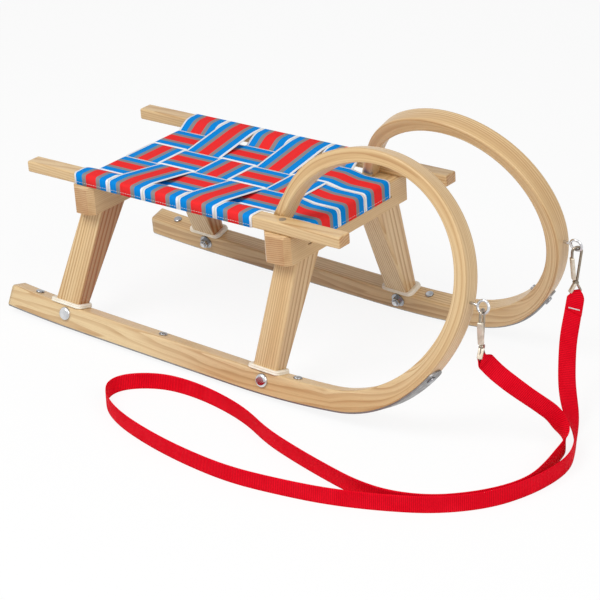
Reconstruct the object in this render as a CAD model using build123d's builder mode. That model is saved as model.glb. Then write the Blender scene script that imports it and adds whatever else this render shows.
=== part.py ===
"""Horned wooden snow sled: bent ash runners, splayed legs, woven webbing seat and tow gear."""
import os
from math import asin, atan, cos, degrees, radians, sin, tan

from build123d import *

os.makedirs("parts", exist_ok=True)

# Frame: +X forward, +Y left, +Z up, millimetres, floor at z = 0.
# Lengths along the sled are measured from the seat rails' rear end and moved by shift_x.
shift_x = -393.0

# Runner and horn, drawn in a plane that leans inward
base_half = 185.3
horn_half = 125.9
runner_width = 30.0
runner_depth = 32.0
sole_thickness = 2.5
sole_width = 27.0
rear_bottom = -24.0
rear_top = -18.5
rocker_start = 130.0
rocker_radius = 2800.0
flat_end_low = 420.0
flat_end_top = 440.0
runner_round = 4.0
horn_radius = 160.0
# Radius, as a share of the horn's radius, and turn of each arc, from the flat round to the horn's foot
low_bends = [(8.831, 7.3), (1.209, 34.3), (1.442, 34.8), (1.02, 76.8), (1.129, 54.2), (0.754, 40.3)]
top_bends = [(10.799, 4.4), (1.311, 58.5), (0.928, 41.8), (0.878, 66.3), (1.025, 45.4), (0.797, 34.6)]
foot_run_low = 75.0
foot_run_top = 42.0
sole_tip_turn = 16.2
sole_tip_round = 12.0

# Seat frame, sloping up to the front
seat_slope = 2.1
seat_height = 223.1
rail_length = 584.0
rail_outer = 140.0
rail_width = 25.0
rail_depth = 17.6
rail_round = 3.0
beam_half = 145.0
beam_depths = {"rear": 40.0, "front": 47.0}
beam_height = 44.0
beam_corner = 8.0
beam_bevel = 4.0
beam_edge = 6.0
beam_round = 2.0
slot_drop = 26.0
slot_depth = 8.0
slot_height = 2.2
slot_ease = 4.0
beam_fronts = {"rear": 130.0, "front": 497.0}
rail_screw_radius = 5.0
rail_screw_height = 1.0
rail_screw_shank = 2.5
rail_screw_depth = 40.0
rail_screw_along = 477.0

# Legs: back and front of the lower and of the upper end
#        name   low_back low_front top_back top_front
legs = [("rear", 67.0, 113.0, 88.5, 128.0),
        ("front", 447.5, 489.0, 455.5, 494.0)]
leg_low_outer = 3.0
leg_low_thick = 26.0
leg_top_outer = 123.0
leg_top_thick = 54.0
leg_round = 4.0
tenon_thick = 12.0
tenon_inset = 8.0
tenon_low = 16.0
tenon_high = 20.0

# Rubber collar round each leg's foot
collar_reach = 8.0
collar_width = 34.0
collar_height = 6.0
collar_round = 9.0
collar_edge = 2.0

# Carriage bolts and their nuts
bolt_along = {"rear": 93.0, "front": 470.0}
bolt_up = 22.0
bolt_radius = 4.0
bolt_head_radius = 10.3
bolt_head_height = 5.0
bolt_head_round = 4.5
washer_radius = 11.0
washer_thickness = 1.6
nut_radius = 7.5
nut_height = 6.5
bolt_end = 3.0
hole_gap = 0.3

# Rivets that hold the sole
rivet_along = [25.0, 272.0, 520.0]
rivet_head_radius = 6.5
rivet_head_height = 2.6
rivet_radius = 2.5
rivet_round = 1.8
rivet_lift = 0.05
inner_steps = 200
tip_rivet_turn = 11.6
tip_head_radius = 4.8
tip_head_lift = 0.15

# Seat webbing
webbing = 1.3
webbing_gap = 0.3
weave_level = 5.0
cross_first = 98.0
cross_pitch = 67.2
cross_width = 64.8
cross_count = 5
length_pitch = 62.0
length_width = 60.0
length_count = 3
length_shift = 3.0
cross_end = 0.8
drop_start = 0.3
step_round = 1.2
wrap_ease = 0.3
drop_round = 3.0
front_wrap_round = 6.3
rear_wrap_round = 4.0
tuck_round = 0.9
tuck_depth = 5.0

# Eye screws on the horns
eye_wire = 2.0
eye_radius = 8.6
eye_reach = 11.9
eye_depth = 14.0
eye_turn = 12.0

# Snap hooks, hanging from the eyes
hook_wire = 2.0
hook_bow = 7.0
hook_slant = 7.6
hook_arm = 46.0
hook_nose = 14.0
hook_hang = 0.5
hook_knuckle = 3.6
hook_breadth = 6.4
knuckle_shift = 1.6
loop_wire = 1.8
loop_half = 9.0
loop_drop = 16.0
loop_round = 2.2
gate_radius = 2.4
gate_foot = 5.0
gate_lean = 3.2
hook_gate_gap = 0.4
hook_turns = {"right": 12.0, "left": -36.0}

# Tow strap of flat webbing, its ends folded through the hooks
tow_width = 25.0
tow_thickness = 1.6
fold_width = 10.0
fold_ease = 0.4
fold_neck = 7.0
fold_drop = 10.0
bend_share = 0.45
# Route from the right hook over the floor to the left hook, down the middle of the webbing
tow_near = [(407.0, -118.5, 133.0), (413.0, -115.0, 116.0), (431.0, -104.5, 104.0), (454.0, -91.5, 86.0),
            (478.0, -77.5, 64.0), (499.0, -65.5, 38.0)]
tow_floor = [(513.0, -58.0), (521.0, -74.0), (522.0, -102.0), (527.0, -140.0), (527.0, -180.0), (513.0, -219.0),
             (486.0, -260.0), (447.0, -297.0), (397.0, -319.0), (347.0, -322.0), (292.0, -312.0), (227.0, -298.0),
             (162.0, -279.0), (102.0, -247.0), (42.0, -231.0), (-18.0, -226.0), (-66.0, -236.0), (-106.0, -266.0),
             (-112.0, -300.0), (-83.0, -334.0), (-33.0, -360.0), (37.0, -378.0), (112.0, -388.0), (187.0, -390.0),
             (257.0, -377.0), (327.0, -360.0), (397.0, -330.0), (457.0, -296.0), (504.0, -247.0), (530.0, -195.0),
             (541.0, -145.0), (540.0, -105.0), (523.0, -67.0), (501.0, -37.0)]
tow_far = [(476.0, -4.0, 22.0), (454.0, 25.0, 40.0), (439.0, 45.0, 64.0), (426.0, 68.0, 90.0),
           (413.0, 100.0, 112.0), (407.0, 118.5, 133.0)]

lean = atan((base_half - horn_half) / seat_height)
cos_lean, sin_lean = cos(lean), sin(lean)
low_arcs = [(share * horn_radius, turn) for share, turn in low_bends]
top_arcs = [(share * horn_radius, turn) for share, turn in top_bends]
foot_cut_length, foot_cut_depth = 3 * beam_depths["front"], 2 * beam_height
wood_low = sole_thickness
wood_top = sole_thickness + runner_depth
side_out = Vector(0, -cos_lean, sin_lean)
side_up = Vector(0, sin_lean, cos_lean)
lean_rise = (runner_width + sole_width) / 2 * sin_lean
lean_plane = Plane(origin=(shift_x, -base_half, lean_rise), x_dir=(1, 0, 0), z_dir=side_out)
tilt = radians(seat_slope)
seat_up = Vector(-sin(tilt), 0, cos(tilt))
seat_along = Vector(cos(tilt), 0, sin(tilt))
seat_origin = Vector(shift_x, 0, seat_height)
seat_plane = Plane(origin=seat_origin, x_dir=seat_along, z_dir=seat_up)
seat_side = Plane(origin=seat_origin, x_dir=seat_along, z_dir=(0, -1, 0))
rail_inner = rail_outer - rail_width
foot_middle = beam_fronts["front"] - beam_depths["front"]
webbing_half = (length_pitch * (length_count - 1) + length_width) / 2 + abs(length_shift) + webbing_gap
rail_screw_spot = (rail_screw_along, -rail_outer + rail_width / 2)


def follow(start, arcs):
    """Point and heading in degrees after a chain of tangent arcs that leaves start along +X."""
    x, t = start
    heading = 0.0
    for radius, turn in arcs:
        a, b = radians(heading), radians(heading + turn)
        x, t = x + radius * (sin(b) - sin(a)), t + radius * (cos(a) - cos(b))
        heading += turn
    return x, t, heading


def stand_on(x, t, heading, across=runner_width / 2):
    """Plane on the lean plane's point, facing left of the heading, at a depth across the runner."""
    origin = lean_plane.from_local_coords((x, t, -across))
    facing = side_up * cos(radians(heading)) - Vector(1, 0, 0) * sin(radians(heading))
    return Plane(origin=origin, x_dir=side_out, z_dir=facing)


both_sides = []
middle = []

# Legs, each with a tenon into the runner and one into the crossbeam
leg_parts = {}
for name, low_back, low_front, top_back, top_front in legs:
    low_spot = ((low_back + low_front) / 2, wood_top, -leg_low_outer - leg_low_thick / 2)
    low_plane = Plane(origin=lean_plane.from_local_coords(low_spot), x_dir=(1, 0, 0), z_dir=side_up)
    top_spot = ((top_back + top_front) / 2, -leg_top_outer + leg_top_thick / 2, -beam_height)
    top_plane = Plane(origin=seat_plane.from_local_coords(top_spot), x_dir=seat_along, z_dir=seat_up)
    with BuildPart() as leg:
        with BuildSketch(low_plane):
            RectangleRounded(low_front - low_back, leg_low_thick, leg_round)
        with BuildSketch(top_plane):
            RectangleRounded(top_front - top_back, leg_top_thick, leg_round)
        loft()
        with BuildSketch(low_plane):
            Rectangle(low_front - low_back - 2 * tenon_inset, tenon_thick)
        extrude(amount=-tenon_low)
        with BuildSketch(top_plane):
            Rectangle(top_front - top_back - 2 * tenon_inset, 2 * tenon_thick)
        extrude(amount=tenon_high)
        with BuildSketch(lean_plane):
            with Locations((bolt_along[name], bolt_up)):
                Circle(bolt_radius + hole_gap)
        extrude(amount=-runner_width, mode=Mode.SUBTRACT)
    leg_parts[name] = leg.part
    both_sides.append((f"leg_{name}", leg.part))

# Carriage bolts, their heads on the outside
for name, along in bolt_along.items():
    head_spot = lean_plane.from_local_coords((along, bolt_up, 0))
    head_plane = Plane(origin=head_spot, x_dir=(1, 0, 0), z_dir=side_out)
    with BuildPart() as bolt:
        with BuildSketch(head_plane):
            Circle(bolt_head_radius)
        extrude(amount=bolt_head_height)
        fillet(bolt.faces().sort_by(Axis((0, 0, 0), side_out))[-1].edges(), bolt_head_round)
        with BuildSketch(head_plane):
            Circle(bolt_radius)
        extrude(amount=-runner_width - washer_thickness - nut_height - bolt_end)
    both_sides.append((f"bolt_{name}", bolt.part))
    with BuildPart() as nut:
        with BuildSketch(head_plane.offset(-runner_width)):
            Circle(washer_radius)
        extrude(amount=-washer_thickness)
        with BuildSketch(head_plane.offset(-runner_width - washer_thickness)):
            RegularPolygon(nut_radius, 6)
        extrude(amount=-nut_height)
        with BuildSketch(head_plane.offset(-runner_width)):
            Circle(bolt_radius + hole_gap)
        extrude(amount=-washer_thickness - nut_height, mode=Mode.SUBTRACT)
    both_sides.append((f"nut_{name}", nut.part))

# Rivets: three with their heads on the runner's top, one at the sole's tip
rivet_planes = []
for along in rivet_along:
    if along < rocker_start:
        turn = degrees(asin((rocker_start - along) / (rocker_radius - runner_depth)))
        rise = (rocker_radius - runner_depth) * (1 - cos(radians(turn)))
        rivet_planes.append((stand_on(along, wood_top + rise, -turn), runner_depth + sole_thickness))
    elif along > flat_end_top:
        turn = degrees(asin((along - flat_end_top) / top_arcs[0][0]))
        rise = top_arcs[0][0] * (1 - cos(radians(turn)))
        rivet_planes.append((stand_on(along, wood_top + rise, turn), runner_depth + sole_thickness))
    else:
        rivet_planes.append((stand_on(along, wood_top, 0), runner_depth + sole_thickness))
tip_arcs = low_arcs[:2] + [(low_arcs[2][0], tip_rivet_turn)]
tip_x, tip_t, tip_heading = follow((flat_end_low, wood_low), tip_arcs)
tip_plane = stand_on(tip_x, tip_t, tip_heading + 180).offset(sole_thickness)
tip_side = (-sin(radians(tip_heading)), cos(radians(tip_heading)))
bend_radius, bend_turn = top_arcs[1]
inner_spots = [follow((flat_end_top, wood_top), top_arcs[:1] + [(bend_radius, bend_turn * step / inner_steps)])
               for step in range(inner_steps)]
inner_spot = min(inner_spots, key=lambda s: abs((s[0] - tip_x) * tip_side[1] - (s[1] - tip_t) * tip_side[0]))
inner_depth = (inner_spot[0] - tip_x) * tip_side[0] + (inner_spot[1] - tip_t) * tip_side[1]
rivet_planes.append((tip_plane, inner_depth + sole_thickness + rivet_head_height / 2))
rivet_planes = [(plane.offset(rivet_lift), length) for plane, length in rivet_planes]
inner_plane = stand_on(*inner_spot).offset(tip_head_lift)
with BuildPart() as rivets:
    for plane, length in rivet_planes:
        with BuildSketch(plane):
            Circle(rivet_head_radius)
        extrude(amount=rivet_head_height)
        head_top = plane.origin + plane.z_dir * rivet_head_height
        fillet(rivets.faces().sort_by_distance(head_top)[0].edges(), rivet_round)
        with BuildSketch(plane):
            Circle(rivet_radius)
        extrude(amount=-length + hole_gap)
    with BuildSketch(inner_plane):
        Circle(tip_head_radius)
    extrude(amount=rivet_head_height)
    inner_top = inner_plane.origin + inner_plane.z_dir * rivet_head_height
    fillet(rivets.faces().sort_by_distance(inner_top)[0].edges(), rivet_round)
both_sides.append(("rivets", rivets.part))

# Seat rails, lying on the crossbeams
with BuildPart() as rail:
    with BuildSketch(seat_plane):
        with Locations((rail_length / 2, -rail_outer + rail_width / 2)):
            Rectangle(rail_length, rail_width)
    extrude(amount=rail_depth)
    fillet(rail.edges(), rail_round)
    with BuildSketch(seat_plane):
        with Locations(rail_screw_spot):
            Circle(rail_screw_shank + hole_gap)
    extrude(amount=rail_depth, mode=Mode.SUBTRACT)
both_sides.append(("rail", rail.part))

# Screws down through the rails into the front crossbeam
with BuildPart() as rail_screw:
    with BuildSketch(seat_plane.offset(rail_depth)):
        with Locations(rail_screw_spot):
            Circle(rail_screw_radius)
    extrude(amount=rail_screw_height)
    with BuildSketch(seat_plane.offset(rail_depth)):
        with Locations(rail_screw_spot):
            Circle(rail_screw_shank)
    extrude(amount=-rail_screw_depth)
both_sides.append(("rail_screw", rail_screw.part))

# Crossbeams, slotted for the webbing's ends
for name, front in beam_fronts.items():
    depth = beam_depths[name]
    slot_face = front if name == "front" else front - depth
    with BuildPart() as beam:
        with BuildSketch(seat_plane):
            with Locations((front - depth / 2, 0)):
                Rectangle(depth, 2 * beam_half)
            chamfer(vertices(), beam_corner)
        extrude(amount=-beam_height)
        top_edges = beam.faces().sort_by(Axis((0, 0, 0), seat_up))[-1].edges()
        long_edges = top_edges.filter_by(Axis.Y).sort_by(Axis.X)
        end_edges = top_edges.sort_by(Axis.Y)
        chamfer([end_edges[0], end_edges[-1]], beam_bevel)
        fillet(long_edges[-1 if name == "front" else 0], beam_edge)
        with BuildSketch(seat_side):
            with Locations((slot_face, -slot_drop)):
                Rectangle(2 * slot_depth, slot_height)
        extrude(amount=webbing_half + slot_ease, both=True, mode=Mode.SUBTRACT)
        if name == "front":
            with BuildSketch(seat_plane):
                with Locations(rail_screw_spot, (rail_screw_spot[0], -rail_screw_spot[1])):
                    Circle(rail_screw_shank + hole_gap)
            extrude(amount=rail_depth - rail_screw_depth - hole_gap, mode=Mode.SUBTRACT)
        add(leg_parts[name], mode=Mode.SUBTRACT)
        mirror(leg_parts[name], about=Plane.XZ, mode=Mode.SUBTRACT)
    middle.append((f"beam_{name}", beam.part))

# Runners, each bent up and over into a horn whose foot seats on rail and crossbeam
rear_low = asin((rocker_start - rear_bottom) / rocker_radius)
rear_high = asin((rocker_start - rear_top) / (rocker_radius - runner_depth))
with BuildPart() as runner:
    with BuildSketch(lean_plane):
        with BuildLine():
            heel = JernArc((rocker_start, wood_low), (-1, 0), rocker_radius, -degrees(rear_low))
            edge = Line((rocker_start, wood_low), (flat_end_low, wood_low))
            for radius, turn in low_arcs:
                edge = JernArc(edge @ 1, edge % 1, radius, turn)
            toe_low = Line(edge @ 1, edge @ 1 + (edge % 1) * foot_run_low)
            back = JernArc((rocker_start, wood_top), (-1, 0), rocker_radius - runner_depth, -degrees(rear_high))
            edge = Line((rocker_start, wood_top), (flat_end_top, wood_top))
            for radius, turn in top_arcs:
                edge = JernArc(edge @ 1, edge % 1, radius, turn)
            toe_top = Line(edge @ 1, edge @ 1 + (edge % 1) * foot_run_top)
            Line(toe_low @ 1, toe_top @ 1)
            Line(heel @ 1, back @ 1)
        make_face()
    extrude(amount=-runner_width)
    outline = runner.faces().filter_by(Axis((0, 0, 0), side_out)).edges()
    fillet(outline, runner_round)
    # Square lower edge for the steel sole
    with BuildSketch(lean_plane):
        with BuildLine():
            low = JernArc((rocker_start, wood_low), (-1, 0), rocker_radius, -degrees(rear_low))
            high = JernArc((rocker_start, wood_low + runner_round), (-1, 0), rocker_radius - runner_round,
                           -degrees(rear_low))
            Line(low @ 1, high @ 1)
            edge = Line((rocker_start, wood_low), (flat_end_low, wood_low))
            for radius, turn in low_arcs[:2]:
                edge = JernArc(edge @ 1, edge % 1, radius, turn)
            low_end = edge @ 1
            edge = Line((rocker_start, wood_low + runner_round), (flat_end_low, wood_low + runner_round))
            for radius, turn in low_arcs[:2]:
                edge = JernArc(edge @ 1, edge % 1, radius - runner_round, turn)
            Line(low_end, edge @ 1)
        make_face()
    extrude(amount=-runner_width)
    # Seats for rail, crossbeam and webbing at the horn's foot
    with BuildSketch(seat_plane):
        with Locations((foot_middle, -rail_outer + rail_width / 2)):
            Rectangle(foot_cut_length, rail_width)
    extrude(amount=rail_depth, mode=Mode.SUBTRACT)
    with BuildSketch(seat_plane):
        with Locations((foot_middle, -rail_inner)):
            Rectangle(foot_cut_length, rail_inner)
    extrude(amount=-foot_cut_depth, mode=Mode.SUBTRACT)
    with BuildSketch(seat_plane):
        with Locations((foot_middle, 0)):
            Rectangle(foot_cut_length, 2 * webbing_half)
    extrude(amount=weave_level + 2 * webbing, mode=Mode.SUBTRACT)
    for name in leg_parts:
        add(leg_parts[name], mode=Mode.SUBTRACT)
        with BuildSketch(lean_plane):
            with Locations((bolt_along[name], bolt_up)):
                Circle(bolt_radius + hole_gap)
        extrude(amount=-runner_width, mode=Mode.SUBTRACT)
    for plane, length in rivet_planes:
        with BuildSketch(plane):
            Circle(rivet_radius + hole_gap)
        extrude(amount=-length, mode=Mode.SUBTRACT)
    eye_x, eye_t, eye_heading = follow((flat_end_low, wood_low), low_arcs[:3] + [(low_arcs[3][0], eye_turn)])
    eye_plane = stand_on(eye_x, eye_t, eye_heading + 180)
    with BuildSketch(eye_plane):
        Circle(eye_wire + hole_gap)
    extrude(amount=-eye_depth - hole_gap, mode=Mode.SUBTRACT)
both_sides.append(("runner", runner.part))

# Rubber collars, seated on the runner's top face
for name, low_back, low_front, top_back, top_front in legs:
    spot = ((low_back + low_front) / 2, wood_top, -runner_width / 2)
    collar_plane = Plane(origin=lean_plane.from_local_coords(spot), x_dir=(1, 0, 0), z_dir=side_up)
    with BuildPart() as collar:
        with BuildSketch(collar_plane):
            RectangleRounded(low_front - low_back + 2 * collar_reach, collar_width, collar_round)
        extrude(amount=collar_height)
        fillet(collar.faces().sort_by(Axis((0, 0, 0), side_up))[-1].edges(), collar_edge)
        add(leg_parts[name], mode=Mode.SUBTRACT)
        add(runner.part, mode=Mode.SUBTRACT)
    both_sides.append((f"collar_{name}", collar.part))

# Steel soles under the runners and up the front of the horns
with BuildPart() as sole:
    with BuildSketch(lean_plane.offset(-(runner_width - sole_width) / 2)):
        with BuildLine():
            low = JernArc((rocker_start, 0), (-1, 0), rocker_radius + sole_thickness, -degrees(rear_low))
            high = JernArc((rocker_start, wood_low), (-1, 0), rocker_radius, -degrees(rear_low))
            Line(low @ 1, high @ 1)
            edge = Line((rocker_start, 0), (flat_end_low, 0))
            for radius, turn in low_arcs[:2] + [(low_arcs[2][0], sole_tip_turn)]:
                edge = JernArc(edge @ 1, edge % 1, radius + sole_thickness, turn)
            low_end = edge @ 1
            edge = Line((rocker_start, wood_low), (flat_end_low, wood_low))
            for radius, turn in low_arcs[:2] + [(low_arcs[2][0], sole_tip_turn)]:
                edge = JernArc(edge @ 1, edge % 1, radius, turn)
            Line(low_end, edge @ 1)
        make_face()
    extrude(amount=-sole_width)
    tip_face = sole.faces().sort_by(Axis.Z)[-1]
    fillet(tip_face.edges().sort_by(SortBy.LENGTH)[:2], sole_tip_round)
    for plane, length in rivet_planes:
        with BuildSketch(plane):
            Circle(rivet_radius + hole_gap)
        extrude(amount=-length, mode=Mode.SUBTRACT)
both_sides.append(("sole", sole.part))

# Eye screws at the front of the horns
with BuildPart() as eye:
    with BuildSketch(eye_plane.offset(-eye_depth)):
        Circle(eye_wire)
    extrude(amount=eye_depth + eye_reach)
    ring_spot = eye_plane.from_local_coords((0, 0, eye_reach + eye_radius))
    with Locations(Plane(origin=ring_spot, x_dir=(1, 0, 0), z_dir=side_out)):
        Torus(eye_radius, eye_wire)
both_sides.append(("eye", eye.part))

# Webbing across the seat, over the rails
half_step = (webbing + webbing_gap) / 2
over_rail = rail_depth + webbing / 2
over_side = rail_outer + webbing / 2
for row in range(cross_count):
    start = cross_first + row * cross_pitch
    points = [(-over_side, cross_end), (-over_side, over_rail), (-rail_inner - drop_start, over_rail)]
    bends = [rail_round - wrap_ease + webbing / 2, drop_round]
    for column in range(length_count):
        middle_y = (column - (length_count - 1) / 2) * length_pitch + length_shift
        level = weave_level + half_step * (-1 if (row + column) % 2 == 0 else 1)
        points += [(middle_y - length_width / 2, level), (middle_y + length_width / 2, level)]
        bends += [step_round, step_round]
    points += [(rail_inner + drop_start, over_rail), (over_side, over_rail), (over_side, cross_end)]
    bends += [drop_round, rail_round - wrap_ease + webbing / 2]
    row_plane = Plane(origin=seat_plane.from_local_coords((start, 0, 0)), x_dir=(0, 1, 0), z_dir=seat_along)
    with BuildPart() as cross_strap:
        with BuildSketch(row_plane):
            with BuildLine():
                FilletPolyline(*points, radius=bends)
            trace(line_width=webbing)
        extrude(amount=cross_width)
    middle.append((f"cross_strap_{row + 1}", cross_strap.part))

# Webbing along the seat, over the crossbeams and tucked into their slots
front_face = beam_fronts["front"] + webbing / 2
rear_face = beam_fronts["rear"] - beam_depths["rear"] - webbing / 2
for column in range(length_count):
    middle_y = (column - (length_count - 1) / 2) * length_pitch + length_shift
    points = [(rear_face + tuck_depth, -slot_drop), (rear_face, -slot_drop), (rear_face, webbing / 2)]
    bends = [tuck_round, rear_wrap_round]
    for row in range(cross_count):
        start = cross_first + row * cross_pitch
        level = weave_level + half_step * (1 if (row + column) % 2 == 0 else -1)
        points += [(start, level), (start + cross_width, level)]
        bends += [step_round, step_round]
    points += [(foot_middle + beam_edge, webbing / 2), (front_face, webbing / 2),
               (front_face, -slot_drop), (front_face - tuck_depth, -slot_drop)]
    bends += [drop_round, front_wrap_round, tuck_round]
    with BuildPart() as length_strap:
        with BuildSketch(seat_side.offset(-middle_y - length_width / 2)):
            with BuildLine():
                FilletPolyline(*points, radius=bends)
            trace(line_width=webbing)
        extrude(amount=length_width)
    middle.append((f"length_strap_{column + 1}", length_strap.part))

# Snap hooks hanging in the eyes: nose, bow, slanting arm, knuckle and strap loop, with a straight gate
slant = radians(hook_slant)
bow_end = (hook_bow * cos(slant), -hook_bow * sin(slant))
arm_end = (bow_end[0] - hook_arm * sin(slant), bow_end[1] - hook_arm * cos(slant))
knuckle = (arm_end[0] - knuckle_shift, arm_end[1])
bar_level = knuckle[1] - loop_drop
for side, turn in hook_turns.items():
    sign = 1 if side == "right" else -1
    ring = Vector(ring_spot.X, ring_spot.Y * sign, ring_spot.Z)
    up = Vector(0, side_up.Y * sign, side_up.Z)
    top = ring - up * eye_radius + Vector(0, 0, eye_wire + hook_wire + hook_hang)
    facing = Vector(cos(radians(turn)), sin(radians(turn)), 0)
    hook_plane = Plane(origin=top - Vector(0, 0, hook_bow), x_dir=(-facing.Y, facing.X, 0), z_dir=facing)
    with BuildPart() as hook:
        with BuildLine(hook_plane) as path:
            Line((-hook_bow, -hook_nose), (-hook_bow, 0))
            ThreePointArc((-hook_bow, 0), (0, hook_bow), bow_end)
            Line(bow_end, arm_end)
        bend = path.wire()
        with BuildSketch(Plane(origin=bend @ 0, z_dir=bend % 0)):
            Circle(hook_wire)
        sweep(path=bend)
        with BuildSketch(hook_plane.offset(-hook_breadth / 2)):
            with Locations(knuckle):
                Circle(hook_knuckle)
        extrude(amount=hook_breadth)
        with BuildLine(hook_plane) as loop_line:
            FilletPolyline((knuckle[0] - loop_wire / 2, knuckle[1]), (knuckle[0] - loop_half, bar_level),
                           (knuckle[0] + loop_half, bar_level), (knuckle[0] + loop_wire / 2, knuckle[1]),
                           radius=loop_round)
        loop = loop_line.wire()
        with BuildSketch(Plane(origin=loop @ 0, z_dir=loop % 0)):
            Circle(loop_wire)
        sweep(path=loop)
    middle.append((f"hook_{side}", hook.part))
    with BuildPart() as gate:
        with BuildLine(hook_plane) as gate_line:
            Line((-hook_bow, -hook_nose - hook_gate_gap), (knuckle[0] - gate_lean, knuckle[1] + gate_foot))
        bar = gate_line.wire()
        with BuildSketch(Plane(origin=bar @ 0, z_dir=bar % 0)):
            Circle(gate_radius)
        sweep(path=bar)
    middle.append((f"hook_gate_{side}", gate.part))

    # Webbing end, folded over the bar of the hook's loop
    fold_spot = hook_plane.from_local_coords((knuckle[0] + fold_width / 2, bar_level, 0))
    fold_plane = Plane(origin=fold_spot, x_dir=hook_plane.z_dir, z_dir=-hook_plane.x_dir)
    reach = loop_wire + fold_ease + tow_thickness / 2
    leg_half = (tow_thickness + fold_ease) / 2
    with BuildPart() as fold:
        with BuildSketch(fold_plane):
            with BuildLine():
                Polyline((-leg_half, -fold_drop), (-leg_half, -fold_neck), (-reach, 0))
                ThreePointArc((-reach, 0), (0, reach), (reach, 0))
                Polyline((reach, 0), (leg_half, -fold_neck), (leg_half, -fold_drop))
            trace(line_width=tow_thickness)
        extrude(amount=fold_width)
    middle.append((f"tow_fold_{side}", fold.part))


def bend_radii(points):
    """Radius at each corner of a route: as large as the shorter of its two runs allows."""
    corners = [Vector(*point) for point in points]
    radii = []
    for before, corner, after in zip(corners, corners[1:], corners[2:]):
        turn = (corner - before).get_angle(after - corner)
        run = min((corner - before).length, (after - corner).length)
        radii.append(bend_share * run / tan(radians(turn / 2)))
    return radii


# Tow strap: on edge along the floor, and upright ribbons down from the two hooks
floor_level = tow_width / 2
with BuildPart() as tow_strap:
    radii = bend_radii(tow_floor)
    print("tow strap floor radii", [round(radius) for radius in radii])
    with BuildSketch():
        with BuildLine():
            FilletPolyline(*tow_floor, radius=radii)
        trace(line_width=tow_thickness)
    extrude(amount=tow_width)
    for hang in (tow_near + [(*tow_floor[0], floor_level)], tow_far[::-1] + [(*tow_floor[-1], floor_level)]):
        start, end = Vector(*hang[0]), Vector(*hang[-1])
        ahead = Vector(end.X - start.X, end.Y - start.Y, 0).normalized()
        hang_plane = Plane(origin=(start.X, start.Y, 0), x_dir=ahead, z_dir=ahead.cross(Vector(0, 0, 1)))
        points = [((Vector(*point) - start).dot(ahead), point[2]) for point in hang]
        radii = bend_radii(points)
        print("tow strap hanging radii", [round(radius) for radius in radii])
        with BuildSketch(hang_plane):
            with BuildLine():
                FilletPolyline(*points, radius=radii)
            trace(line_width=tow_width)
        extrude(amount=tow_thickness / 2, both=True)
    split(bisect_by=Plane.XY, keep=Keep.TOP)
    split(bisect_by=Plane.XY.offset(fold_plane.origin.Z - fold_drop), keep=Keep.BOTTOM)
middle.append(("tow_strap", tow_strap.part))

for name, piece in both_sides:
    with BuildPart() as right_piece:
        add(piece)
    right_piece.part.label = f"{name}_right"
    export_step(right_piece.part, f"parts/{name}_right.step")
    with BuildPart() as left_piece:
        mirror(piece, about=Plane.XZ)
    left_piece.part.label = f"{name}_left"
    export_step(left_piece.part, f"parts/{name}_left.step")
for name, piece in middle:
    with BuildPart() as middle_piece:
        add(piece)
    middle_piece.part.label = name
    export_step(middle_piece.part, f"parts/{name}.step")
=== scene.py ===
"""Horned wooden snow sled: bent ash, striped seat webbing, plated fittings and a red tow strap."""
from math import asin, atan2, cos, pi, radians, sin

import bpy
import numpy as np
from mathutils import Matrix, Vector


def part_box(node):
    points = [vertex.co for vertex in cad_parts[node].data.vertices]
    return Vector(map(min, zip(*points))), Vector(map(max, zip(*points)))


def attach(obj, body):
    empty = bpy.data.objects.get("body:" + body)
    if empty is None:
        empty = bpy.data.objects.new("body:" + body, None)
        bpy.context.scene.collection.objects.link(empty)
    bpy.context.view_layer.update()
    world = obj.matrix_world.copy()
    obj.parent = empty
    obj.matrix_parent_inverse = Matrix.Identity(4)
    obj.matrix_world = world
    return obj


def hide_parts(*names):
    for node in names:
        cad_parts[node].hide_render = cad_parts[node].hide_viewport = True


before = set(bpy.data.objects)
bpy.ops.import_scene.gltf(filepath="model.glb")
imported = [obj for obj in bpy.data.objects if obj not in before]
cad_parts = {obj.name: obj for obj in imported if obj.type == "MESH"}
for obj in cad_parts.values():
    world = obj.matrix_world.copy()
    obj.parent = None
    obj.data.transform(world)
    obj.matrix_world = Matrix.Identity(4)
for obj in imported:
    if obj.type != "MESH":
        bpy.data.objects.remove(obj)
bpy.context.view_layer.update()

# Sizes shared with the solids, in metres. Lengths along the sled start at the seat rails' rear end.
SHIFT = -0.393
BASE_HALF, HORN_HALF = 0.1853, 0.1259
RUNNER_WIDTH, RUNNER_DEPTH, RUNNER_ROUND = 0.030, 0.032, 0.004
SOLE_THICK, SOLE_WIDTH = 0.0025, 0.027
REAR_LOW, REAR_TOP = -0.024, -0.0185
ROCKER_START, ROCKER_RADIUS = 0.130, 2.800
FLAT_LOW, FLAT_TOP = 0.420, 0.440
HORN_RADIUS = 0.160
# Radius, as a share of the horn's radius, and turn in degrees of each arc from the flat to the foot
LOW_BENDS = [(8.831, 7.3), (1.209, 34.3), (1.442, 34.8), (1.02, 76.8), (1.129, 54.2), (0.754, 40.3)]
TOP_BENDS = [(10.799, 4.4), (1.311, 58.5), (0.928, 41.8), (0.878, 66.3), (1.025, 45.4),
             (0.797, 34.6)]
FOOT_LOW, FOOT_TOP = 0.075, 0.042
SEAT_TILT = radians(2.1)
SEAT_HEIGHT = 0.2231
RAIL_OUTER, RAIL_WIDTH, RAIL_DEPTH = 0.140, 0.025, 0.0176
RAIL_INNER = RAIL_OUTER - RAIL_WIDTH
BEAM_FRONT, BEAM_FRONT_DEPTH, BEAM_REAR, BEAM_REAR_DEPTH = 0.497, 0.047, 0.130, 0.040
BEAM_EDGE, BEAM_HEIGHT = 0.006, 0.044
SLOT_DROP, TUCK = 0.026, 0.005
WEBBING, WEB_GAP, WEAVE_LEVEL = 0.0013, 0.0003, 0.005
CROSS_FIRST, CROSS_PITCH, CROSS_WIDTH, CROSS_COUNT = 0.098, 0.0672, 0.0648, 5
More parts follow.
